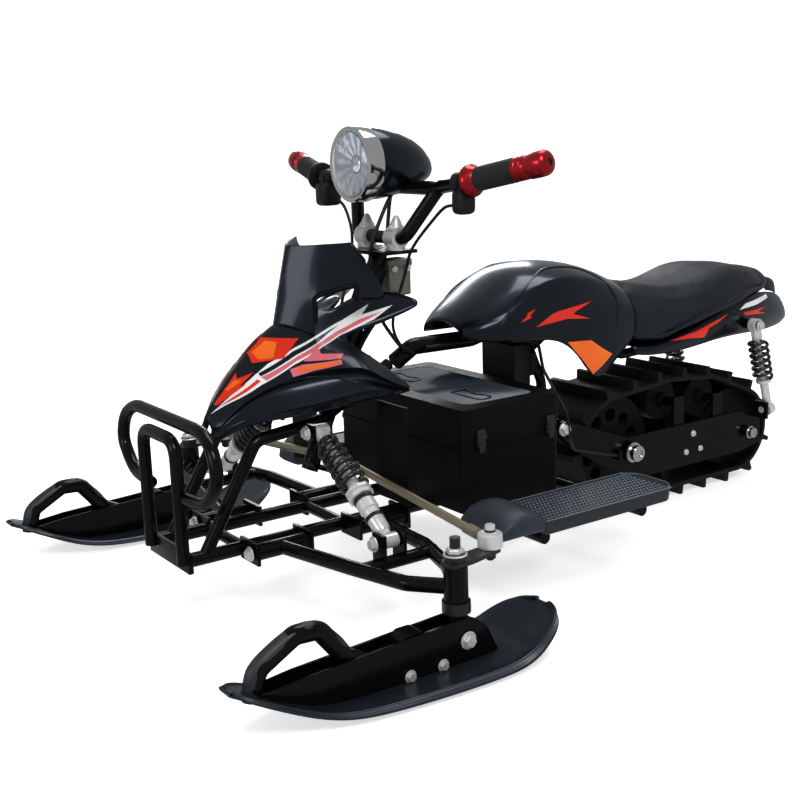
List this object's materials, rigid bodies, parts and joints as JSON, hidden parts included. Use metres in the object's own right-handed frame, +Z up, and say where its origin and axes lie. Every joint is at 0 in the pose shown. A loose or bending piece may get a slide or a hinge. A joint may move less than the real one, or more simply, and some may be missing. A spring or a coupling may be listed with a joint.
{
  "type": "electric snowmobile",
  "caption": "Small ride-on electric snowmobile: two steered skis on arms, one lugged track on a swing arm, padded seat, battery box and footboards.",
  "frame": {"origin": "on the ground, midway along the length and width", "axes": "+Z up, -Y towards the ski tips, +X towards the rider's left"},
  "size_m": [0.991, 1.532, 0.726],
  "materials": {
    "frame_black": "semi-gloss black paint over tube and plate",
    "gloss_black": "high-gloss black moulding",
    "ski_plastic": "smooth dark blue-grey polyethylene",
    "box_plastic": "grained black plastic",
    "pack_plastic": "plain battery wrap",
    "board_plastic": "ribbed blue-grey plastic",
    "control_plastic": "satin black plastic",
    "wheel_plastic": "moulded black nylon",
    "seat_vinyl": "fine-grained dark grey vinyl",
    "track_rubber": "moulded rubber",
    "grip_rubber": "ribbed soft rubber",
    "shock_alloy": "bright machined alloy",
    "clamp_alloy": "brushed alloy",
    "controller_alloy": "dark cast alloy",
    "spring_black": "glossy black coat",
    "cable_black": "smooth black cable sheath",
    "kingpin_steel": "black paint with bright fasteners",
    "rod_zinc": "olive zinc plate",
    "lens_glass": "clear lens"
  },
  "bodies": {
    "chassis": {"main_frame": "frame_black", "seat_frame": "frame_black", "bumper": "frame_black", "steering_bracket": "frame_black", "left_a_arm": "frame_black", "right_a_arm": "frame_black", "left_front_shock": "shock_alloy", "right_front_shock": "shock_alloy", "front_springs": "spring_black", "rear_shocks": "shock_alloy", "rear_springs": "spring_black", "swing_arm": "frame_black", "track": "track_rubber", "drive_wheel": "wheel_plastic", "track_wheels": "wheel_plastic", "battery_box": "box_plastic", "battery_lid": "box_plastic", "battery_pack": "pack_plastic", "box_latches": "box_plastic", "controller": "controller_alloy", "left_footboard": "board_plastic", "right_footboard": "board_plastic", "splash_panels": "box_plastic", "nose_fairing": "gloss_black", "windscreen": "gloss_black", "tank_fairing": "gloss_black", "saddle": "seat_vinyl", "tail_fairing": "gloss_black", "brake_cable": "cable_black"},
    "steering": {"steering_column": "frame_black", "riser_clamps": "clamp_alloy", "handlebar": "frame_black", "left_grip": "grip_rubber", "right_grip": "grip_rubber", "bar_controls": "control_plastic", "headlight_shell": "gloss_black", "headlight_lens": "lens_glass"},
    "left_spindle": {"left_kingpin": "kingpin_steel"},
    "left_ski_foot": {"left_ski": "ski_plastic", "left_ski_bracket": "frame_black"},
    "left_rod": {"left_tie_rod": "rod_zinc"},
    "right_spindle": {"right_kingpin": "kingpin_steel"},
    "right_ski_foot": {"right_ski": "ski_plastic", "right_ski_bracket": "frame_black"},
    "right_rod": {"right_tie_rod": "rod_zinc"}
  },
  "joints": [
    {"name": "steer", "type": "hinge", "parent": "chassis", "child": "steering", "pos_m": [0, -0.243, 0.528], "axis": [0, 0.4067, 0.9135], "range_deg": [-28, 28]},
    {"name": "left_kingpin_turn", "type": "hinge", "parent": "chassis", "child": "left_spindle", "pos_m": [0.414, -0.416, 0.11], "axis": [0, 0, 1], "range_deg": [-22.5, 22.5]},
    {"name": "left_ski_pitch", "type": "hinge", "parent": "left_spindle", "child": "left_ski_foot", "pos_m": [0.414, -0.412, 0.042], "axis": [1, 0, 0], "range_deg": [-10, 10]},
    {"name": "left_rod_swing", "type": "hinge", "parent": "left_spindle", "child": "left_rod", "pos_m": [0.402, -0.346, 0.161], "axis": [0, 0, 1], "range_deg": [-25, 25]},
    {"name": "right_kingpin_turn", "type": "hinge", "parent": "chassis", "child": "right_spindle", "pos_m": [-0.414, -0.416, 0.11], "axis": [0, 0, 1], "range_deg": [-22.5, 22.5]},
    {"name": "right_ski_pitch", "type": "hinge", "parent": "right_spindle", "child": "right_ski_foot", "pos_m": [-0.414, -0.412, 0.042], "axis": [1, 0, 0], "range_deg": [-10, 10]},
    {"name": "right_rod_swing", "type": "hinge", "parent": "right_spindle", "child": "right_rod", "pos_m": [-0.402, -0.346, 0.161], "axis": [0, 0, 1], "range_deg": [-25, 25]}
  ],
  "couplings": [
    {"joint": "left_kingpin_turn", "follows": "steer", "ratio": 0.79},
    {"joint": "left_rod_swing", "follows": "steer", "ratio": -0.87},
    {"joint": "right_kingpin_turn", "follows": "steer", "ratio": 0.79},
    {"joint": "right_rod_swing", "follows": "steer", "ratio": -0.87}
  ]
}
